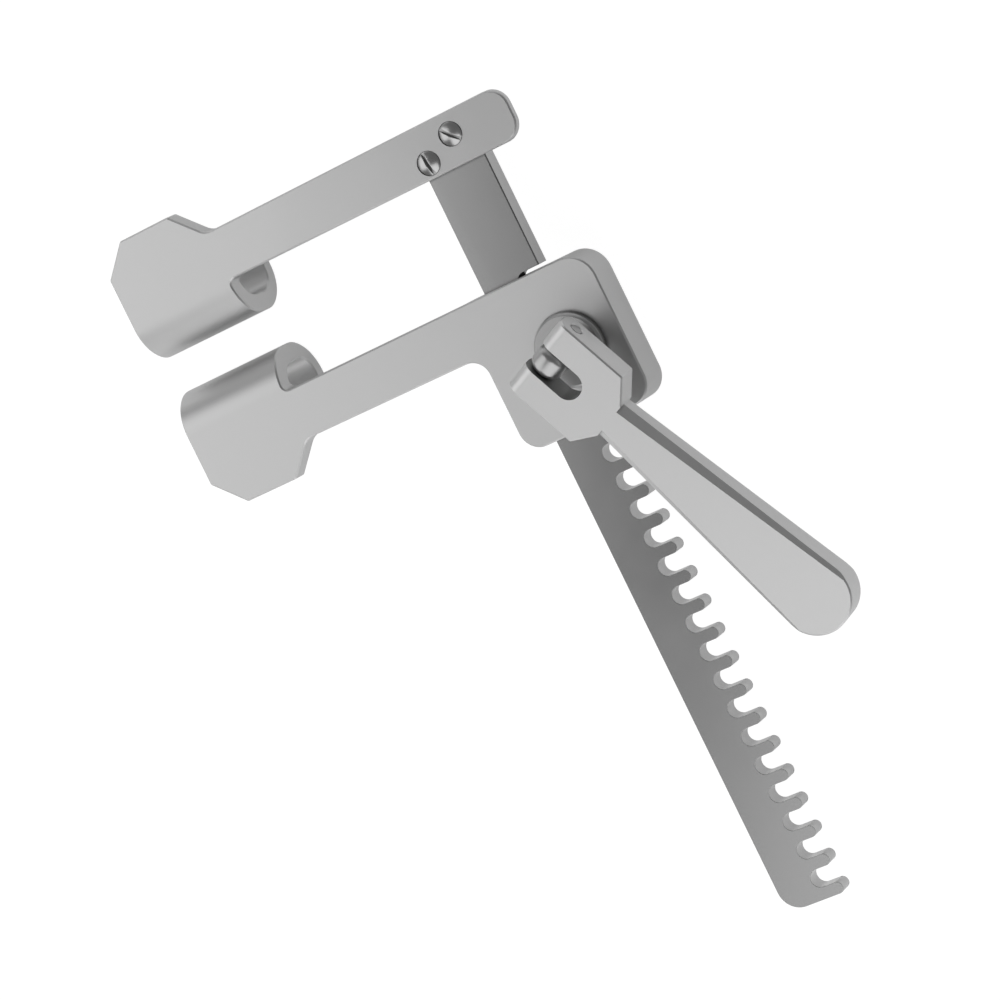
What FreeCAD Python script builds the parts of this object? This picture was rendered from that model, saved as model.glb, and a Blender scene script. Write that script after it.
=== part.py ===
import FreeCAD, Part
import math
import os

from FreeCAD import Matrix, Placement, Vector

# Self retaining retractor: a toothed rack bar carries a fixed arm at its top, and a housing with
# a second arm that a folding crank walks along the teeth.
# Millimetres. X runs from the blades towards the rack, Y along the rack towards the fixed arm and
# Z out of the front face. The pieces are drawn from the back face of the rack, under the fixed arm,
# and build() then moves them to an origin on the back face of the housing, beside the crank.

# Rack bar
rack_width = 10.9
rack_thickness = 3.0
rack_head = 3.2                 # how far the bar reaches past the fixed arm's centre line
tooth_pitch = 5.0
tooth_width = 2.0
tooth_depth = 4.63
tooth_count = 22
plain_length = 23.5             # from the fixed arm's centre line to the first gap
rack_corner_radius = 3.6
rack_edge_break = 0.2           # along the plain right edge

# Arms and blades
arm_half_width = 4.2            # at the blade
arm_root_half_width = 4.35      # at the rack and the housing
arm_front = 6.3                 # height of the blades' front face above the back of the rack
arm_edge_break = 0.25
fixed_arm_end = 13.5            # right end of the fixed arm
fixed_arm_end_radius = 3.2
fixed_arm_tip_front = 4.5       # height of the crowned front face at the arm's right end
blade_left = -64.2
blade_width = 20.1
blade_outer = 9.3               # outer edge of the blade from the arm's centre line
blade_chamfer = 5.0
blade_corner_radius = 0.6
blade_neck_radius = 3.0
notch_radius = 1.2
roll_reach = 11.05              # outermost point of the hook from the arm's centre line
roll_radius = 6.5
roll_depth = 14.9               # from the front face to the far side of the hook
lip_thickness = 2.4
lip_wall = 2.9                  # wall at the turn into the lip
lip_end = 2.2                   # the lip ends this far short of the arm's centre line
lip_end_radius = 1.1

# Housing of the movable arm
arm_spacing = 28.4              # between the arms' centre lines as drawn
housing_left = -9.3
housing_right = 14.7
housing_length = 25.6           # along the rack
housing_tip_front = 5.7         # height of the crowned front face at the housing's right edge
housing_back = -1.2
housing_top_radius = 4.5
housing_heel_radius = 3.5
housing_toe_radius = 3.8
housing_edge_break = 0.35
arm_to_housing_radius = 3.0
slide_clearance = 0.05

# Crank
crank_tooth = 2                 # the tooth that the drive pins straddle as drawn
drive_pin_radius = 1.0
drive_pin_orbit = 2.3
drive_pin_seat = 1.8            # depth of the pins' holes in the journal
journal_radius = 3.5
journal_clearance = 0.05
keeper_thickness = 1.1
disc_seat = 5.75                # height of the flat that is cut in the housing under the disc
disc_seat_margin = 0.15
disc_radius = 6.0
disc_thickness = 1.5
disc_chamfer = 0.45
post_radius = 2.45
hinge_height = 14.35            # hinge pin axis above the back of the rack
knuckle_radius = 2.7
knuckle_width = 4.2
knuckle_chamfers = (0.85, 0.3)    # cut one after the other, which rounds the knuckle's rims
tang_start = 3.2                # the post is flattened from here up to the hinge pin's axis
hinge_pin_radius = 1.0
hinge_pin_clearance = 0.05

# Folding handle, measured from the hinge pin's axis towards the free end
handle_bearing = -66.5          # degrees from X, seen from the front
handle_dip = 4.4                # degrees below level
handle_thickness = 5.2
handle_length = 60.35
handle_end_half_width = 6.5
handle_end_radius = 5.9
handle_edge_break = 0.25
handle_ease_at_neck = 1.3       # the long edges are eased, most at the neck
handle_ease_at_end = 0.5
fork_half_width = 7.05
slot_half_width = 2.35
slot_centre = 4.6
tine_overhang = 2.8             # the tines end this far behind the pin's axis
tine_corner_radius = 2.0
tine_heel_radius = 2.0
shoulder_start = 10.3
shoulder_radius = 0.4
neck_start = 13.0
neck_half_width = 3.25
neck_radius = 0.3
pin_hole_countersink = 0.2

# Screws
screw_head_radius = 1.95
screw_seat_depth = 0.45         # below the arm's front face
screw_dome_height = 0.6
screw_head_clearance = 0.06
screw_shank_radius = 1.2
screw_slot_width = 0.55
screw_slot_depth = 0.6
screw_floor = 0.4               # rack material left under the screws' ends
upper_screw_x = 2.6
upper_screw_y = 0.8
upper_screw_slot_angle = -45.0
lower_screw_x = -2.9
lower_screw_y = -1.8
lower_screw_slot_angle = -83.0

# Sizes that follow
half_rack = rack_width / 2
gap_radius = (tooth_pitch - tooth_width) / 2
tip_radius = tooth_width / 2
gap_root_x = half_rack - tooth_depth + gap_radius
first_gap = -plain_length - gap_radius
rack_end = first_gap - (tooth_count - 1) * tooth_pitch - gap_radius - tooth_width
blade_right = blade_left + blade_width
sheet_thickness = arm_front - rack_thickness
crown_start = blade_right + blade_chamfer
housing_side = housing_length - arm_root_half_width
crank_x = half_rack + slide_clearance
crank_y = first_gap - gap_radius - tip_radius - crank_tooth * tooth_pitch
disc_bottom = disc_seat + slide_clearance
disc_top = disc_bottom + disc_thickness
journal_bottom = rack_thickness + 2 * slide_clearance
handle_axis = Vector(crank_x, crank_y, hinge_height)
overrun = 5.0                   # how far a cutter runs past what it cuts
smallest = 1e-6

UP = Vector(0, 0, 1)


def direction(angle):
    """Unit vector in the XY plane at an angle in degrees."""
    turn = math.radians(angle)
    return Vector(math.cos(turn), math.sin(turn), 0)


def rounded_face(corners):
    """Flat face from (point, radius) corners in order, each rounded by its radius."""
    arcs = []
    for index, (corner, radius) in enumerate(corners):
        before = (corners[index - 1][0] - corner).normalize()
        after = (corners[(index + 1) % len(corners)][0] - corner).normalize()
        half_angle = before.getAngle(after) / 2
        reach = radius / math.tan(half_angle)
        inward = (before + after).normalize()
        top = corner + inward * (radius / math.sin(half_angle) - radius)
        arcs.append((corner + before * reach, top, corner + after * reach))
    edges = []
    for index, (start, top, end) in enumerate(arcs):
        if start.distanceToPoint(end) > smallest:
            edges.append(Part.Arc(start, top, end).toShape())
        following = arcs[(index + 1) % len(arcs)][0]
        if end.distanceToPoint(following) > smallest:
            edges.append(Part.makeLine(end, following))
    return Part.Face(Part.Wire(edges))


def prism(corners, low, high):
    """Upright prism between two heights from (x, y, radius) corners."""
    face = rounded_face([(Vector(x, y, low), radius) for x, y, radius in corners])
    return face.extrude(UP * (high - low))


def rod(radius, start, end):
    """Round bar between two points."""
    return Part.makeCylinder(radius, start.distanceToPoint(end), start, end - start)


def block(low, high):
    """Box between its lowest and highest corners."""
    size = high - low
    return Part.makeBox(size.x, size.y, size.z, low)


def sharp_edges(shape, wanted):
    """Edges that a test of their middle point accepts, where two faces meet at an angle."""
    found = []
    for edge in shape.Edges:
        middle = edge.valueAt((edge.FirstParameter + edge.LastParameter) / 2)
        if not wanted(middle):
            continue
        normals = [face.normalAt(*face.Surface.parameter(middle))
                   for face in shape.ancestorsOfType(edge, Part.Face)]
        if len(normals) == 2 and abs(normals[0].dot(normals[1])) < 0.8:
            found.append(edge)
    return found


def rack_outline():
    """Outline of the bar: plain edges, and one gap and one finger for every tooth."""
    tip_x = half_rack - tip_radius
    start = Vector(half_rack, rack_head, 0)
    edges = []
    here = start

    def line(x, y):
        nonlocal here
        there = Vector(x, y, 0)
        edges.append(Part.makeLine(here, there))
        here = there

    def arc(middle_x, middle_y, x, y):
        nonlocal here
        there = Vector(x, y, 0)
        edges.append(Part.Arc(here, Vector(middle_x, middle_y, 0), there).toShape())
        here = there

    line(half_rack, -plain_length)
    for index in range(tooth_count):
        gap_y = first_gap - index * tooth_pitch
        finger_y = gap_y - gap_radius - tip_radius
        line(gap_root_x, gap_y + gap_radius)
        arc(gap_root_x - gap_radius, gap_y, gap_root_x, gap_y - gap_radius)
        line(tip_x, gap_y - gap_radius)
        arc(half_rack, finger_y, tip_x, finger_y - tip_radius)
    line(rack_corner_radius - half_rack, rack_end)
    bulge = rack_corner_radius * (1 - math.sqrt(0.5))
    arc(bulge - half_rack, rack_end + bulge, -half_rack, rack_end + rack_corner_radius)
    line(-half_rack, rack_head)
    line(start.x, start.y)
    return Part.Face(Part.Wire(edges))


def rack_bar():
    bar = rack_outline().extrude(UP * rack_thickness)
    plain_middle = Vector(half_rack, (rack_head - plain_length) / 2, rack_thickness)
    plain_edge = sharp_edges(bar, lambda point: point.isEqual(plain_middle, smallest))
    bar = bar.makeChamfer(rack_edge_break, plain_edge)
    for x, y in ((upper_screw_x, upper_screw_y), (lower_screw_x, lower_screw_y)):
        foot = Vector(x, y, screw_floor)
        bar = bar.cut(rod(screw_shank_radius, foot, foot + UP * rack_thickness))
    return bar


def arm_plan(tail):
    """Plan of a blade and its arm, with the hook at -Y, closed by the corners of its right end."""
    hook_side = -roll_reach - overrun
    neck_x = blade_right + (blade_chamfer - (blade_outer - arm_half_width)) / 2
    chamfer_x = neck_x - (blade_outer - arm_half_width)
    return [
        (blade_left, hook_side, 0),
        (blade_left, blade_outer - blade_chamfer, blade_corner_radius),
        (blade_left + blade_chamfer, blade_outer, blade_corner_radius),
        (chamfer_x, blade_outer, blade_corner_radius),
        (neck_x, arm_half_width, blade_neck_radius),
        *tail,
        (blade_right, -arm_half_width, notch_radius),
        (blade_right, hook_side, 0),
    ]


def blade_sheet():
    """The blade before its outline is cut: a plate rolled into a hook with a thinner lip."""
    bottom = arm_front - roll_depth
    lip_inside = bottom + lip_thickness
    inner_radius = roll_radius - sheet_thickness
    profile = [
        (blade_outer, arm_front, 0),
        (-roll_reach, arm_front, roll_radius),
        (-roll_reach, bottom, roll_radius),
        (-lip_end, bottom, lip_end_radius),
        (-lip_end, lip_inside, lip_end_radius),
        (lip_wall - roll_reach, lip_inside, inner_radius),
        (sheet_thickness - roll_reach, rack_thickness, inner_radius),
        (blade_outer, rack_thickness, 0),
    ]
    face = rounded_face([(Vector(blade_left, y, z), radius) for y, z, radius in profile])
    return face.extrude(Vector(crown_start - blade_left, 0, 0))


def front_height(x, right_end, tip_front):
    """Height at x of a front face that falls in a long arc to its height at the right end."""
    drop = arm_front - tip_front
    run = right_end - crown_start
    radius = (run ** 2 + drop ** 2) / (2 * drop)
    return arm_front - radius + math.sqrt(radius ** 2 - (x - crown_start) ** 2)


def crowned_bar(right_end, tip_front):
    """Stock behind the crowned front face of an arm, running past its right end."""
    far_x = right_end + overrun
    middle_x = (crown_start + far_x) / 2
    side = -housing_length
    start = Vector(crown_start, side, arm_front)
    middle = Vector(middle_x, side, front_height(middle_x, right_end, tip_front))
    end = Vector(far_x, side, front_height(far_x, right_end, tip_front))
    back_end = Vector(far_x, side, rack_thickness)
    back_start = Vector(crown_start, side, rack_thickness)
    wire = Part.Wire([
        Part.Arc(start, middle, end).toShape(),
        Part.makeLine(end, back_end),
        Part.makeLine(back_end, back_start),
        Part.makeLine(back_start, start),
    ])
    return Part.Face(wire).extrude(Vector(0, 2 * housing_length, 0))


def arm_with_blade(plan, right_end, tip_front):
    """Blade, hook and arm in one forging, lying along X with the hook at -Y."""
    bottom = arm_front - roll_depth
    half_depth = arm_front - roll_depth / 2
    stock = blade_sheet().fuse(crowned_bar(right_end, tip_front))
    upper = prism(plan, half_depth, arm_front + overrun)
    lower = block(Vector(blade_left, -roll_reach - overrun, bottom - overrun),
                  Vector(blade_right, 0, half_depth))
    return stock.common(upper.fuse(lower).removeSplitter()).removeSplitter()


def on_outer_skin(point):
    """Whether a point of an edge lies on the front face or round the outside of the hook."""
    bottom = arm_front - roll_depth
    halfway = (arm_front + rack_thickness) / 2
    outside_hook = point.y < (sheet_thickness / 2 - roll_reach) and point.x < crown_start
    return point.z > halfway or outside_hook or point.z < bottom + smallest


def fixed_arm():
    plan = arm_plan([
        (fixed_arm_end, arm_root_half_width, fixed_arm_end_radius),
        (fixed_arm_end, -arm_root_half_width, fixed_arm_end_radius),
    ])
    arm = arm_with_blade(plan, fixed_arm_end, fixed_arm_tip_front)
    arm = arm.makeChamfer(arm_edge_break, sharp_edges(arm, on_outer_skin))
    for x, y in ((upper_screw_x, upper_screw_y), (lower_screw_x, lower_screw_y)):
        seat = Vector(x, y, screw_seat(x))
        arm = arm.cut(rod(screw_head_radius + screw_head_clearance, seat, seat + UP * overrun))
        arm = arm.cut(rod(screw_shank_radius, seat - UP * overrun, seat))
    return arm


def screw_seat(x):
    """Height of the flat under a screw's head."""
    return front_height(x, fixed_arm_end, fixed_arm_tip_front) - screw_seat_depth


def arm_screw(x, y, slot_angle):
    """Domed slotted screw, its head sunk in the arm and its end in the rack."""
    seat = Vector(x, y, screw_seat(x))
    rim = seat + UP * screw_seat_depth
    dome_radius = (screw_head_radius ** 2 + screw_dome_height ** 2) / (2 * screw_dome_height)
    ball_centre = rim + UP * (screw_dome_height - dome_radius)
    ball = Part.makeSphere(dome_radius, ball_centre)
    dome = ball.common(rod(screw_head_radius, rim, rim + UP * overrun))
    head = rod(screw_head_radius, seat, rim).fuse(dome)
    shank = rod(screw_shank_radius, Vector(x, y, screw_floor), seat)
    reach = screw_head_radius + overrun
    slot_low = Vector(-reach, -screw_slot_width / 2, 0)
    slot_high = Vector(reach, screw_slot_width / 2, overrun)
    slot = block(slot_low, slot_high)
    slot.rotate(Vector(0, 0, 0), UP, slot_angle)
    slot.translate(rim + UP * (screw_dome_height - screw_slot_depth))
    return head.fuse(shank).removeSplitter().cut(slot)


def housing_block(plan):
    """Rear half of the housing, which closes round the rack and reaches into the front layer."""
    top = (arm_front + rack_thickness) / 2
    rear = prism(plan, housing_back, top)
    low = Vector(housing_left, -housing_length, housing_back)
    return rear.common(block(low, Vector(housing_right, housing_length, top)))


def movable_arm():
    """Arm and housing in one forging; built with the hook at -Y and mirrored into place."""
    plan = arm_plan([
        (housing_left, arm_root_half_width, arm_to_housing_radius),
        (housing_left, housing_side, housing_heel_radius),
        (housing_right, housing_side, housing_toe_radius),
        (housing_right, -arm_root_half_width, housing_top_radius),
    ])
    arm = arm_with_blade(plan, housing_right, housing_tip_front)
    arm = arm.makeChamfer(arm_edge_break, sharp_edges(arm, on_outer_skin))
    arm = arm.fuse(housing_block(plan)).removeSplitter()
    rear_rim = sharp_edges(arm, lambda point: abs(point.z - housing_back) < smallest)
    arm = arm.makeChamfer(housing_edge_break, rear_rim)
    arm = arm.mirror(Vector(0, 0, 0), Vector(0, 1, 0))
    arm.translate(Vector(0, -arm_spacing, 0))
    return arm.cut(rack_channel()).cut(crank_bore()).cut(disc_spot_face())


def rack_channel():
    """Room for the rack to slide through the housing."""
    side = half_rack + slide_clearance
    low = Vector(-side, rack_end, -slide_clearance)
    high = Vector(side, 0, rack_thickness + slide_clearance)
    return block(low, high)


def crank_bore():
    foot = Vector(crank_x, crank_y, housing_back - overrun)
    return rod(journal_radius + journal_clearance, foot, foot + UP * (2 * overrun + arm_front))


def disc_spot_face():
    seat = Vector(crank_x, crank_y, disc_seat)
    return rod(disc_radius + disc_seat_margin, seat, seat + UP * overrun)


def drive_pin_places():
    """Feet of the two drive pins, one on each side of the crank's axis along the rack."""
    return [Vector(crank_x, crank_y + side * drive_pin_orbit, housing_back) for side in (1, -1)]


def drive_pin(foot):
    top = Vector(foot.x, foot.y, journal_bottom + drive_pin_seat)
    return rod(drive_pin_radius, foot, top)


def keeper_disc():
    foot = Vector(crank_x, crank_y, housing_back)
    disc = rod(journal_radius, foot, foot + UP * keeper_thickness)
    for place in drive_pin_places():
        disc = disc.cut(drive_pin(place))
    return disc


def crank_shaft():
    """Journal, disc and post turned in one, with a flattened tang and a knuckle on top."""
    axis_foot = Vector(crank_x, crank_y, 0)
    across = direction(handle_bearing + 90)
    journal = rod(journal_radius, axis_foot + UP * journal_bottom, axis_foot + UP * disc_bottom)
    disc = rod(disc_radius, axis_foot + UP * disc_bottom, axis_foot + UP * disc_top)
    rim = [edge for edge in disc.Edges if edge.BoundBox.ZMin > disc_top - smallest]
    disc = disc.makeChamfer(disc_chamfer, rim)
    tang_foot = axis_foot + UP * (disc_top + tang_start)
    post = rod(post_radius, axis_foot + UP * disc_top, tang_foot)
    tang = rod(post_radius, tang_foot, handle_axis)
    flats = block(Vector(-overrun, -knuckle_width / 2, 0), Vector(overrun, knuckle_width / 2, overrun))
    flats.rotate(Vector(0, 0, 0), UP, handle_bearing)
    flats.translate(tang_foot)
    knuckle = rod(knuckle_radius, handle_axis - across * (knuckle_width / 2),
                  handle_axis + across * (knuckle_width / 2))
    for chamfer in knuckle_chamfers:
        knuckle = knuckle.makeChamfer(chamfer, sharp_edges(knuckle, lambda point: True))
    crank = journal.fuse([disc, post, tang.common(flats), knuckle]).removeSplitter()
    bore_half = across * knuckle_width
    crank = crank.cut(rod(hinge_pin_radius + hinge_pin_clearance,
                          handle_axis - bore_half, handle_axis + bore_half))
    for place in drive_pin_places():
        crank = crank.cut(drive_pin(place))
    return crank


def handle_plan():
    half_outline = [
        (-tine_overhang, fork_half_width, 0),
        (shoulder_start, fork_half_width, shoulder_radius),
        (neck_start, neck_half_width, neck_radius),
        (handle_length, handle_end_half_width, handle_end_radius),
    ]
    mirrored = [(x, -y, radius) for x, y, radius in reversed(half_outline)]
    half = handle_thickness / 2
    return prism(half_outline + mirrored, -half, half)


def handle_side():
    """Side view of the handle: flat, with its tines rounded at the end."""
    half = handle_thickness / 2
    side = -fork_half_width - overrun
    corners = [
        (-tine_overhang, half, tine_corner_radius),
        (handle_length + overrun, half, 0),
        (handle_length + overrun, -half, 0),
        (-tine_overhang, -half, tine_heel_radius),
    ]
    face = rounded_face([(Vector(x, side, z), radius) for x, z, radius in corners])
    return face.extrude(Vector(0, -2 * side, 0))


def handle_slot():
    """Slot between the tines, with a round bottom."""
    high = handle_thickness
    low_corner = Vector(-tine_overhang - overrun, -slot_half_width, -high)
    gap = block(low_corner, Vector(slot_centre, slot_half_width, high))
    return gap.fuse(rod(slot_half_width, Vector(slot_centre, 0, -high), Vector(slot_centre, 0, high)))


def hinge_pin_solid(radius):
    reach = Vector(0, fork_half_width, 0)
    return rod(radius, -reach, reach)


def pin_hole():
    """Hole for the hinge pin, countersunk at both ends."""
    hole = hinge_pin_solid(hinge_pin_radius)
    wide = hinge_pin_radius + pin_hole_countersink
    for side in (1, -1):
        mouth = Vector(0, side * (fork_half_width - pin_hole_countersink), 0)
        cone = Part.makeCone(hinge_pin_radius, wide, pin_hole_countersink, mouth, Vector(0, side, 0))
        hole = hole.fuse(cone)
    return hole


def into_place(shape):
    """Turn a shape drawn along X about the hinge pin's axis into the handle's rest position."""
    bearing = math.radians(handle_bearing)
    dip = math.radians(handle_dip)
    along = Vector(math.cos(bearing) * math.cos(dip), math.sin(bearing) * math.cos(dip), -math.sin(dip))
    across = direction(handle_bearing + 90)
    upward = along.cross(across)
    turn = Matrix(along.x, across.x, upward.x, handle_axis.x,
                  along.y, across.y, upward.y, handle_axis.y,
                  along.z, across.z, upward.z, handle_axis.z,
                  0, 0, 0, 1)
    placed = shape.copy()
    placed.Placement = Placement(turn)
    return placed


def eased_edge():
    """Wedge that eases the long edge at +Y and +Z, less and less towards the free end."""
    spread = (handle_end_half_width - neck_half_width) / (handle_length - neck_start)

    def section(x, ease):
        corner = Vector(x, neck_half_width + (x - neck_start) * spread, handle_thickness / 2)
        out = ease + overrun
        return Part.makePolygon([
            corner + Vector(0, -ease, 0),
            corner + Vector(0, -ease, overrun),
            corner + Vector(0, out, overrun),
            corner + Vector(0, out, -ease),
            corner + Vector(0, 0, -ease),
            corner + Vector(0, -ease, 0),
        ])

    return Part.makeLoft([
        section(neck_start, handle_ease_at_neck),
        section(handle_length, handle_ease_at_end),
    ], True, True)


def crank_handle():
    """Flat lever, forked at the hinge and widening to a round end."""
    lever = handle_plan().common(handle_side())
    half = handle_thickness / 2
    outline = sharp_edges(lever, lambda point: abs(abs(point.z) - half) < smallest)
    lever = lever.makeChamfer(handle_edge_break, outline)
    wedge = eased_edge()
    for cutter in (wedge, wedge.mirror(Vector(0, 0, 0), Vector(0, 1, 0))):
        lever = lever.cut(cutter)
        lever = lever.cut(cutter.mirror(Vector(0, 0, 0), UP))
    return into_place(lever.cut(handle_slot()).cut(pin_hole()))


def hinge_pin():
    return into_place(hinge_pin_solid(hinge_pin_radius))


def build():
    """Every piece by the name of its node, moved to the shared frame."""
    upper_pin, lower_pin = drive_pin_places()
    drawn = {
        "rack_bar": rack_bar(),
        "fixed_arm": fixed_arm(),
        "arm_screw_upper": arm_screw(upper_screw_x, upper_screw_y, upper_screw_slot_angle),
        "arm_screw_lower": arm_screw(lower_screw_x, lower_screw_y, lower_screw_slot_angle),
        "movable_arm": movable_arm(),
        "crank_shaft": crank_shaft(),
        "drive_pin_1": drive_pin(upper_pin),
        "drive_pin_2": drive_pin(lower_pin),
        "keeper_disc": keeper_disc(),
        "hinge_pin": hinge_pin(),
        "crank_handle": crank_handle(),
    }
    origin = Vector(0, crank_y, housing_back)
    return {name: shape.translated(-origin) for name, shape in drawn.items()}


os.makedirs("parts", exist_ok=True)
for name, shape in build().items():
    box = shape.BoundBox
    print(f"{name}: {len(shape.Solids)} solid, valid {shape.isValid()}, volume {shape.Volume:.1f},"
          f" x {box.XMin:.2f} {box.XMax:.2f}, y {box.YMin:.2f} {box.YMax:.2f},"
          f" z {box.ZMin:.2f} {box.ZMax:.2f}")
    shape.exportStep(f"parts/{name}.step")
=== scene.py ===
import math

import bpy
from mathutils import Matrix, Vector


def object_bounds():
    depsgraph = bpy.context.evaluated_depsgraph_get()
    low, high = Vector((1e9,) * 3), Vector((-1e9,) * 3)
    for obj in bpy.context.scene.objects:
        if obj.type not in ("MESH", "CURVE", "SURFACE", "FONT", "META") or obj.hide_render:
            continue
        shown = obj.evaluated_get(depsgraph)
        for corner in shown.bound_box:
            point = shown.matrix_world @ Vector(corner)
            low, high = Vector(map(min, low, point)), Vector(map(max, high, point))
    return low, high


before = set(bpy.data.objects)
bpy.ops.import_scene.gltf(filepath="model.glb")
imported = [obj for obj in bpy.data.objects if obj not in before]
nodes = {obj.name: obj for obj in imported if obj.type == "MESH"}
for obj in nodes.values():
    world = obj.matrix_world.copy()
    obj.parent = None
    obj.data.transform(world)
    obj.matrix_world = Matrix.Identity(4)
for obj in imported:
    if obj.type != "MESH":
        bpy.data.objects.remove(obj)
cad_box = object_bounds()

MM = 0.001
WHITE = (1.0, 1.0, 1.0, 1.0)


def node_tree(owner):
    """Emptied node tree of a material or a world."""
    owner.use_nodes = True
    tree = owner.node_tree
    tree.nodes.clear()
    return tree


def add_node(tree, kind, inputs=None, **settings):
    """New node with its settings and inputs, which are values or other nodes' outputs."""
    node = tree.nodes.new(kind)
    for name, value in settings.items():
        setattr(node, name, value)
    for name, value in (inputs or {}).items():
        if isinstance(value, bpy.types.NodeSocket):
            tree.links.new(value, node.inputs[name])
        else:
            node.inputs[name].default_value = value
    return node


# Finish of the steel, and painted shade in its crevices
STEEL_INPUTS = {                    # of the group that the steels share, with their usual values
    "Tone": 0.6,
    "Tone Spread": 0.03,            # how much the clouds change the tone
    "Roughness": 0.4,
    "Roughness Spread": 0.06,       # and the roughness
    "Grain": 0.1,
    "Painted Crevice Shade": 0.8,            # share of the tone that a closed corner loses, as painted shade
    "Painted Shade Reach": 0.5 * MM,      # how near another surface has to be for that painted shade
}
GRAIN_NOISE = {"Scale": 5200.0, "Detail": 2.0}  # scales are repeats in a metre
CLOUD_NOISE = {"Scale": 70.0, "Detail": 4.0}
NOISE_MIDDLE = 0.5
GRAIN_HEIGHT = 0.02 * MM
PAINTED_SHADE_SAMPLES = 8
FLANK_LEVEL, FACE_LEVEL = 0.2, 0.6  # how level the bar is where its flanks end and its faces begin


def blasted_steel_and_shade_group():
    """Bead-blasted grain, faint clouds in tone and sheen, and shade painted into crevices, for every
    steel.
    """
    group = bpy.data.node_groups.new("blasted_steel_and_painted_shade", "ShaderNodeTree")
    socket = group.interface.new_socket
    for name, default in STEEL_INPUTS.items():
        socket(name, in_out="INPUT", socket_type="NodeSocketFloat").default_value = default
    socket("Color", in_out="OUTPUT", socket_type="NodeSocketColor")
    socket("Roughness", in_out="OUTPUT", socket_type="NodeSocketFloat")
    socket("Normal", in_out="OUTPUT", socket_type="NodeSocketVector")
    given = add_node(group, "NodeGroupInput").outputs
    place = add_node(group, "ShaderNodeTexCoord").outputs["Object"]

    grain = add_node(group, "ShaderNodeTexNoise", {"Vector": place, **GRAIN_NOISE}).outputs["Fac"]
    bump = add_node(group, "ShaderNodeBump", {
        "Height": grain, "Strength": given["Grain"], "Distance": GRAIN_HEIGHT})

    clouds = add_node(group, "ShaderNodeTexNoise", {"Vector": place, **CLOUD_NOISE}).outputs["Fac"]
    centred = add_node(group, "ShaderNodeMath", {0: clouds, 1: NOISE_MIDDLE},
                       operation="SUBTRACT").outputs[0]
    rough = add_node(group, "ShaderNodeMath", {
        0: centred, 1: given["Roughness Spread"], 2: given["Roughness"]}, operation="MULTIPLY_ADD")
    clouded = add_node(group, "ShaderNodeMath", {
        0: centred, 1: given["Tone Spread"], 2: given["Tone"]}, operation="MULTIPLY_ADD")

    # painted shade: the tone is darkened where another surface is near, as if shade fell there
    open_to_light = add_node(group, "ShaderNodeAmbientOcclusion", {"Distance": given["Painted Shade Reach"]},
                             samples=PAINTED_SHADE_SAMPLES).outputs["AO"]
    hidden = add_node(group, "ShaderNodeMath", {0: 1.0, 1: open_to_light}, operation="SUBTRACT")
    lost = add_node(group, "ShaderNodeMath", {0: hidden.outputs[0], 1: given["Painted Crevice Shade"]},
                    operation="MULTIPLY", use_clamp=True)
    left = add_node(group, "ShaderNodeMath", {0: 1.0, 1: lost.outputs[0]}, operation="SUBTRACT",
                    use_clamp=True)
    tone = add_node(group, "ShaderNodeMath", {0: clouded.outputs[0], 1: left.outputs[0]},
                    operation="MULTIPLY").outputs[0]
    colour = add_node(group, "ShaderNodeCombineColor", {"Red": tone, "Green": tone, "Blue": tone})

    add_node(group, "NodeGroupOutput", {
        "Color": colour.outputs["Color"], "Roughness": rough.outputs[0],
        "Normal": bump.outputs["Normal"]})
    return group


BLASTED_STEEL_AND_SHADE = blasted_steel_and_shade_group()


def steel(name, tone, roughness, grain, crevice_shade=STEEL_INPUTS["Painted Crevice Shade"]):
    """Steel of its own tone, polish and grain, and its share of painted crevice shade, with the group
    that all the steels share.
    """
    material = bpy.data.materials.new(name)
    tree = node_tree(material)
    surface = add_node(tree, "ShaderNodeGroup", {
        "Tone": tone, "Roughness": roughness, "Grain": grain, "Painted Crevice Shade": crevice_shade},
        node_tree=BLASTED_STEEL_AND_SHADE).outputs
    shader = add_node(tree, "ShaderNodeBsdfPrincipled", {
        "Base Color": surface["Color"], "Metallic": 1.0,
        "Roughness": surface["Roughness"], "Normal": surface["Normal"]})
    add_node(tree, "ShaderNodeOutputMaterial", {"Surface": shader.outputs["BSDF"]})
    return material


def paint_flanks_lighter(material, painted_flank_tone):
    """The steel's tone on the bar's faces, and its flanks painted lighter, which stands in for the
    light that falls on them.
    """
    tree = material.node_tree
    tone = next(node for node in tree.nodes if node.type == "GROUP").inputs["Tone"]
    facing = add_node(tree, "ShaderNodeSeparateXYZ", {
        "Vector": add_node(tree, "ShaderNodeTexCoord").outputs["Normal"]}).outputs["Z"]
    level = add_node(tree, "ShaderNodeMath", {0: facing}, operation="ABSOLUTE").outputs[0]
    # painted light: the flanks get a lighter tone by the way they face
    by_level = add_node(tree, "ShaderNodeMapRange", {
        "Value": level, "From Min": FLANK_LEVEL, "From Max": FACE_LEVEL,
        "To Min": painted_flank_tone, "To Max": tone.default_value})
    tree.links.new(by_level.outputs["Result"], tone)
    return material


def dress(names, material):
    """Gives CAD nodes a material in place of the one they came with."""
    for name in names:
        materials = nodes[name].data.materials
        materials.clear()
        materials.append(material)


# each steel's crevice setting is how much painted shade its corners and gaps take
dress(["fixed_arm", "movable_arm"],
      steel("satin_steel", tone=0.62, roughness=0.42, grain=0.12, crevice_shade=0.5))
# painted light: the handle is the arms' satin steel with a lighter tone, which stands in for the light
# on its face
dress(["crank_handle"],
      steel("handle_steel_painted_lighter", tone=0.67, roughness=0.42, grain=0.12, crevice_shade=0.5))
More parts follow.
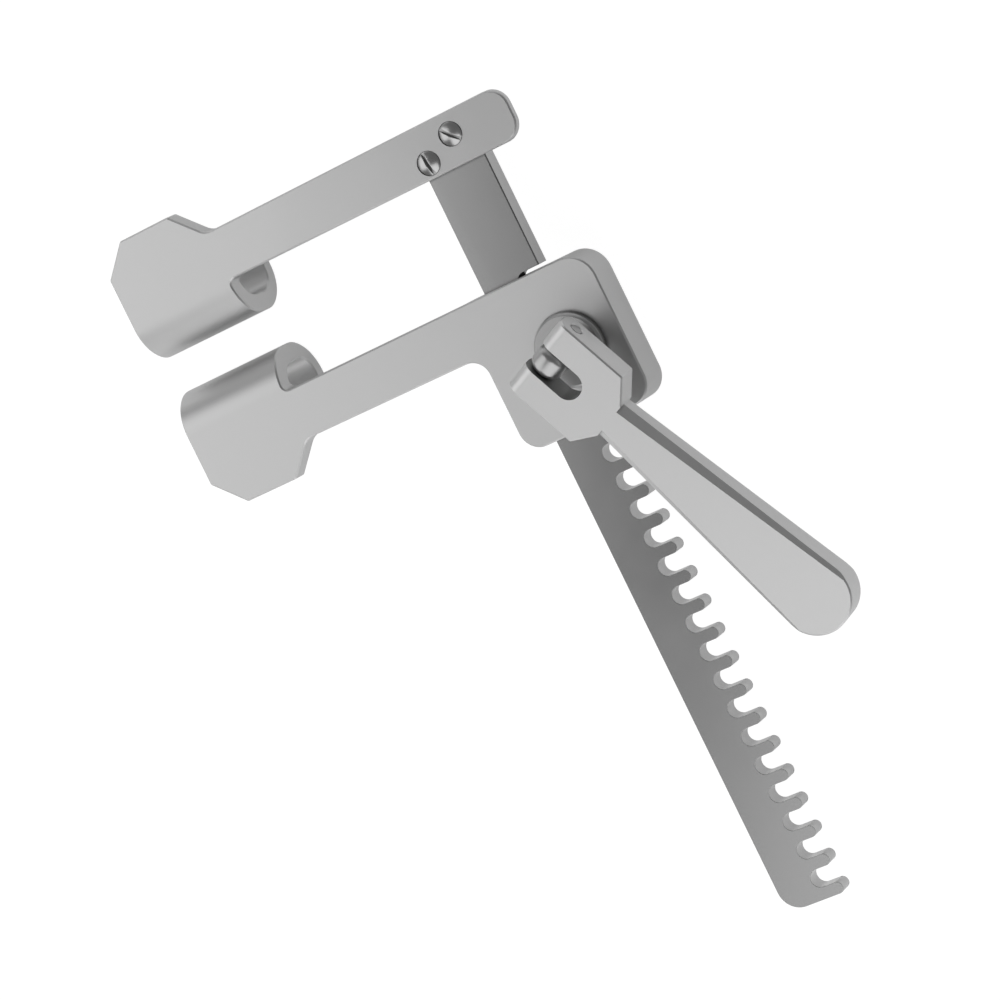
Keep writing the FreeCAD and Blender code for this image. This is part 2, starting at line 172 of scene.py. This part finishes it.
# the bar's flanks are painted lighter than its faces, for the light on them
dress(["rack_bar"],
      paint_flanks_lighter(steel("rack_steel", tone=0.34, roughness=0.17, grain=0.02), painted_flank_tone=0.6))
dress(["arm_screw_upper", "arm_screw_lower"],
      steel("screw_steel", tone=0.5, roughness=0.28, grain=0.03, crevice_shade=0.7))
dress(["drive_pin_1", "drive_pin_2", "keeper_disc", "hinge_pin"],
      steel("bright_steel", tone=0.42, roughness=0.2, grain=0.03))
dress(["crank_shaft"],
      steel("turned_steel", tone=0.46, roughness=0.33, grain=0.05, crevice_shade=0.3))

# Edges and shading
EDGE_SOFTNESS = 0.06 * MM           # radius that handling and tumbling leave on the sharp edges
PIECE_SOFTNESS = {
    "hinge_pin": 0.2 * MM,          # its ends are rounded before it is pressed in
    "arm_screw_upper": 0.02 * MM,   # the edges of its slot are crisp
    "arm_screw_lower": 0.02 * MM,
}
WIDER_THAN_FACETS = {"hinge_pin"}   # takes its whole radius, which its narrow facets would limit
EDGE_SEGMENTS = 2
WELD_REACH = 0.001 * MM
FLAT_ANGLE = math.radians(0.3)
SHARP_ANGLE = math.radians(28)
LARGE_FACE_WEIGHT = 80              # how much the large faces rule the shading, where 50 is neutral


def soften(piece, edge_radius):
    """Join the facets of a CAD node, round its sharp edges a little and shade it smooth."""
    piece.data.shade_smooth()
    weld = piece.modifiers.new("weld", "WELD")
    weld.merge_threshold = WELD_REACH
    flatten = piece.modifiers.new("join_flats", "DECIMATE")
    flatten.decimate_type = "DISSOLVE"
    flatten.angle_limit = FLAT_ANGLE
    bevel = piece.modifiers.new("soft_edges", "BEVEL")
    bevel.width = edge_radius
    bevel.segments = EDGE_SEGMENTS
    bevel.limit_method = "ANGLE"
    bevel.angle_limit = SHARP_ANGLE
    bevel.use_clamp_overlap = piece.name not in WIDER_THAN_FACETS
    shading = piece.modifiers.new("even_shading", "WEIGHTED_NORMAL")
    shading.keep_sharp = False
    shading.weight = LARGE_FACE_WEIGHT


for name, piece in nodes.items():
    soften(piece, PIECE_SOFTNESS.get(name, EDGE_SOFTNESS))

# Floor and room
FLOOR_GAP = 0.1 * MM                # under the backs of the hooks, which the part lies on
FLOOR_HEIGHT = cad_box[0][2] - FLOOR_GAP
FLOOR_SIZE = 3000 * MM
FLOOR_COLOUR = (0.8, 0.8, 0.8, 1.0)
FLOOR_SEEN = 1.2                    # strength that comes to white once the shadow's share is mixed in
FLOOR_SHADOW = 0.2                  # share of the floor's own shading in what the camera sees
PAINTED_SHADOW_GLOW, FAR_GLOW = 0.24, 0.75    # of the floor in the steel, close to the part, where its dimness is a painted shadow, and clear of it
# the painted shadow in the floor's glow gives way between these distances from the part
GLOW_START, GLOW_END = 130 * MM, 240 * MM
ROOM_GREY = 0.18                    # of the room in the steel


def floor_material():
    """White to the camera but for a soft shadow, and pale grey in the steel's reflections, with a
    painted shadow there near the part.
    """
    material = bpy.data.materials.new("floor_white")
    tree = node_tree(material)
    plain = add_node(tree, "ShaderNodeBsdfDiffuse", {"Color": FLOOR_COLOUR}).outputs["BSDF"]

    white = add_node(tree, "ShaderNodeEmission", {"Color": WHITE, "Strength": FLOOR_SEEN})
    seen = add_node(tree, "ShaderNodeMixShader", {
        0: FLOOR_SHADOW, 1: white.outputs["Emission"], 2: plain})

    place = add_node(tree, "ShaderNodeTexCoord").outputs["Object"]
    reach = add_node(tree, "ShaderNodeVectorMath", {0: place}, operation="LENGTH").outputs["Value"]
    # painted shadow: the glow that the steel sees is dimmer near the part
    strength = add_node(tree, "ShaderNodeMapRange", {
        "Value": reach, "From Min": GLOW_START, "From Max": GLOW_END,
        "To Min": PAINTED_SHADOW_GLOW, "To Max": FAR_GLOW}, interpolation_type="SMOOTHSTEP")
    glow = add_node(tree, "ShaderNodeEmission", {
        "Color": WHITE, "Strength": strength.outputs["Result"]})
    reflected = add_node(tree, "ShaderNodeAddShader", {0: plain, 1: glow.outputs["Emission"]})

    path = add_node(tree, "ShaderNodeLightPath").outputs
    either = add_node(tree, "ShaderNodeMixShader", {
        0: path["Is Camera Ray"], 1: reflected.outputs["Shader"], 2: seen.outputs["Shader"]})
    add_node(tree, "ShaderNodeOutputMaterial", {"Surface": either.outputs["Shader"]})
    return material


def lay_floor():
    """Plain floor under the part."""
    bpy.ops.mesh.primitive_plane_add(size=FLOOR_SIZE, location=(0, 0, FLOOR_HEIGHT))
    floor = bpy.context.object
    floor.name = "floor"
    floor.data.materials.append(floor_material())


def paint_room():
    """White to the camera, and dim grey to the steel."""
    room = bpy.data.worlds.new("studio")
    tree = node_tree(room)
    dim = add_node(tree, "ShaderNodeBackground", {"Color": WHITE, "Strength": ROOM_GREY})
    white = add_node(tree, "ShaderNodeBackground", {"Color": WHITE, "Strength": 1.0})
    path = add_node(tree, "ShaderNodeLightPath").outputs
    either = add_node(tree, "ShaderNodeMixShader", {
        0: path["Is Camera Ray"], 1: dim.outputs["Background"], 2: white.outputs["Background"]})
    add_node(tree, "ShaderNodeOutputWorld", {"Surface": either.outputs["Shader"]})
    bpy.context.scene.world = room


lay_floor()
paint_room()

# Lamps
SOFTBOX_DISTANCE = 900 * MM


def softbox(name, azimuth, elevation, width, height, radiance):
    """Area lamp in a direction from the part, facing it, with its width level."""
    lamp = bpy.data.lights.new(name, "AREA")
    lamp.shape = "RECTANGLE"
    lamp.size = width
    lamp.size_y = height
    lamp.energy = radiance * math.pi * width * height
    holder = bpy.data.objects.new(name, lamp)
    bpy.context.collection.objects.link(holder)
    turn, rise = math.radians(azimuth), math.radians(elevation)
    towards = Vector((math.cos(turn) * math.cos(rise), math.sin(turn) * math.cos(rise), math.sin(rise)))
    holder.location = towards * SOFTBOX_DISTANCE
    holder.rotation_euler = towards.to_track_quat("Z", "Y").to_euler()


softbox("left_box", azimuth=163, elevation=39, width=900 * MM, height=860 * MM, radiance=1.05)
softbox("near_box", azimuth=263, elevation=40, width=980 * MM, height=1380 * MM, radiance=1.08)
softbox("far_box", azimuth=93, elevation=10, width=1370 * MM, height=400 * MM, radiance=0.4)

# Camera
CAMERA_PLACE = Vector((295.18, 24.46, 595.29)) * MM
CAMERA_RIGHT = Vector((0.80537, -0.43994, -0.39729))
CAMERA_BACK = Vector((0.46857, 0.06197, 0.88125))
CAMERA_LENS = 151.6                 # focal length in millimetres
CAMERA_SENSOR = 36.0                # width in millimetres
CAMERA_NEAR = 50 * MM               # nearest point that it shows


def place_camera():
    """Camera at the photograph's viewing angle."""
    camera = bpy.data.cameras.new("camera")
    camera.lens = CAMERA_LENS
    camera.sensor_width = CAMERA_SENSOR
    camera.clip_start = CAMERA_NEAR
    holder = bpy.data.objects.new("camera", camera)
    bpy.context.collection.objects.link(holder)
    turn = Matrix((CAMERA_RIGHT, CAMERA_BACK.cross(CAMERA_RIGHT), CAMERA_BACK)).transposed()
    holder.matrix_world = Matrix.Translation(CAMERA_PLACE) @ turn.to_4x4()
    bpy.context.scene.camera = holder


place_camera()
bpy.context.scene.view_settings.view_transform = "Standard"
